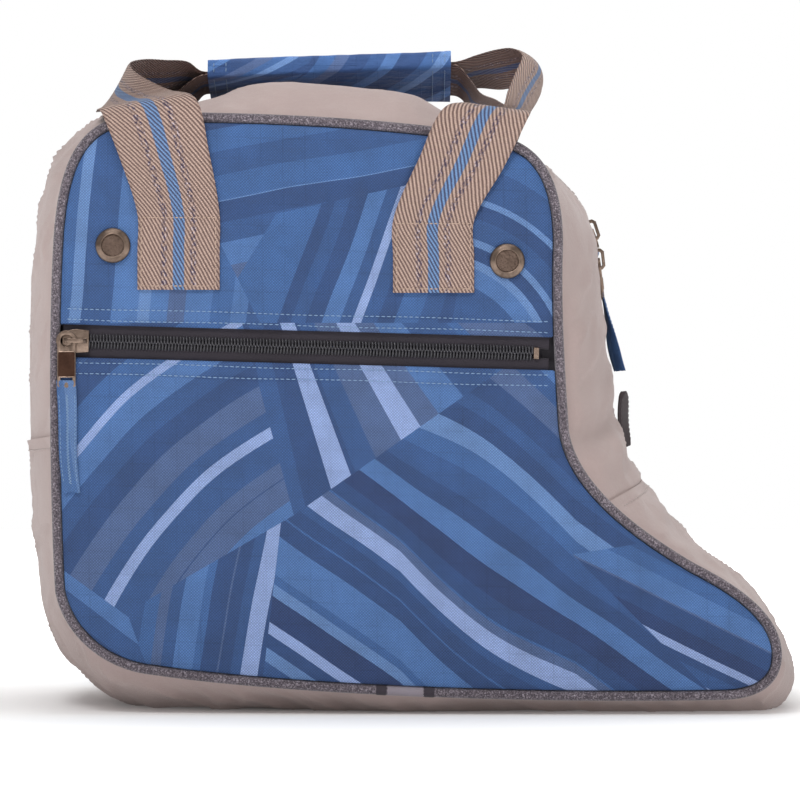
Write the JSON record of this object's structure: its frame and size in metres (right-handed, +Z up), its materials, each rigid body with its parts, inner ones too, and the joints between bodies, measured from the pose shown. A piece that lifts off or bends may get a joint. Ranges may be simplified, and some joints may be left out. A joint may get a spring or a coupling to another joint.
{
  "type": "ski boot bag",
  "caption": "Boot-shaped padded bag with piped printed panels, a plain gusset with a two-way zip, a zipped front pocket and webbing handles joined by a wrapped grip.",
  "frame": {"origin": "on the flat underside, at mid-depth, below the middle of the front panel's printed area", "axes": "+X from the heel to the toe, +Y from the pocket side to the rear side, +Z up"},
  "size_m": [0.3945, 0.2373, 0.3395],
  "materials": {
    "printed_cloth": "ripstop polyester with a printed pattern of curved stripes in several blues",
    "gusset_cloth": "plain taupe polyester with a soft sheen",
    "lining": "plain dark lining with thin foam",
    "stiffener_board": "matt board",
    "piping_cloth": "grey melange woven cover over a cord",
    "zip_tape": "black-brown woven tape",
    "zip_coil": "black coil with a soft gloss",
    "antique_metal": "gunmetal plating with warm worn edges",
    "webbing": "tan twill webbing with a blue centre stripe and two flecked lines",
    "hook_and_loop": "dark hook and loop tape",
    "tab_cloth": "printed blue cloth folded and stitched along its middle"
  },
  "bodies": {
    "root": {"front_upper_panel": "printed_cloth", "front_pocket_panel": "printed_cloth", "pocket_back_wall": "lining", "rear_panel": "printed_cloth", "zip_gusset_front": "gusset_cloth", "zip_gusset_rear": "gusset_cloth", "base_gusset": "gusset_cloth", "base_stiffener": "stiffener_board", "front_piping": "piping_cloth", "rear_piping": "piping_cloth", "main_zip_tape_front": "zip_tape", "main_zip_tape_rear": "zip_tape", "main_zip_coil_front": "zip_coil", "main_zip_coil_rear": "zip_coil", "heel_zip_stop": "antique_metal", "instep_zip_stop": "antique_metal", "zip_keeper": "zip_tape", "pocket_zip_tape_upper": "zip_tape", "pocket_zip_tape_lower": "zip_tape", "pocket_zip_coil_upper": "zip_coil", "pocket_zip_coil_lower": "zip_coil", "pocket_zip_stop": "antique_metal", "stud_cap_left": "antique_metal", "stud_socket_left": "antique_metal", "stud_cap_right": "antique_metal", "stud_socket_right": "antique_metal", "front_strap": "webbing", "rear_strap": "webbing"},
    "pocket_slider": {"pocket_slider": "antique_metal"},
    "pocket_pull": {"pocket_pull": "antique_metal"},
    "pocket_tab": {"pocket_pull_tab": "tab_cloth"},
    "lower_slider": {"lower_slider": "antique_metal"},
    "lower_pull": {"lower_pull": "antique_metal"},
    "lower_tab": {"lower_pull_tab": "tab_cloth"},
    "upper_slider": {"upper_slider": "antique_metal"},
    "upper_pull": {"upper_pull": "antique_metal"},
    "upper_tab": {"upper_pull_tab": "tab_cloth"},
    "grip": {"grip_wrap": "printed_cloth", "loop_strip": "hook_and_loop"},
    "grip_flap": {"grip_flap": "printed_cloth", "hook_strip": "hook_and_loop"}
  },
  "joints": [
    {"name": "pocket_slider_travel", "type": "slide", "parent": "root", "child": "pocket_slider", "axis": [0.9996, 0, -0.027], "range_m": [0, 0.2215]},
    {"name": "pocket_pull_swing", "type": "hinge", "parent": "pocket_slider", "child": "pocket_pull", "pos_m": [-0.1664, -0.1146, 0.18712], "axis": [0, 1, 0], "range_deg": [-45, 80]},
    {"name": "pocket_tab_bend", "type": "hinge", "parent": "pocket_pull", "child": "pocket_tab", "pos_m": [-0.1664, -0.1146, 0.16492], "axis": [-1, 0, 0], "range_deg": [0, 110]},
    {"name": "lower_slider_travel", "type": "slide", "parent": "root", "child": "lower_slider", "axis": [0.1106, 0, -0.9939], "range_m": [0, 0.072], "deforming": ["lower_pull_tab"]},
    {"name": "lower_pull_swing", "type": "hinge", "parent": "lower_slider", "child": "lower_pull", "pos_m": [0.10427, 0, 0.23107], "axis": [0, -1, 0], "range_deg": [0, 150]},
    {"name": "lower_tab_bend", "type": "hinge", "parent": "lower_pull", "child": "lower_tab", "pos_m": [0.10644, 0, 0.2116], "axis": [0, -1, 0], "range_deg": [0, 100]},
    {"name": "upper_slider_travel", "type": "hinge", "parent": "root", "child": "upper_slider", "pos_m": [0.029, 0, 0.223], "axis": [0, -1, 0], "range_deg": [0, 46]},
    {"name": "upper_pull_swing", "type": "hinge", "parent": "upper_slider", "child": "upper_pull", "pos_m": [0.1023, 0, 0.2424], "axis": [0.9502, 0, 0.3115], "range_deg": [0, 55]},
    {"name": "upper_tab_bend", "type": "hinge", "parent": "upper_pull", "child": "upper_tab", "pos_m": [0.10298, 0.01535, 0.24035], "axis": [0.3085, -0.1392, -0.941], "range_deg": [0, 100]},
    {"name": "grip_lift", "type": "slide", "parent": "root", "child": "grip", "axis": [0, 0, 1], "range_m": [0, 0.045], "deforming": ["front_strap", "rear_strap"]},
    {"name": "grip_flap_open", "type": "hinge", "parent": "grip", "child": "grip_flap", "pos_m": [0, -0.0163, 0.33768], "axis": [1, 0, 0], "range_deg": [0, 120]}
  ]
}
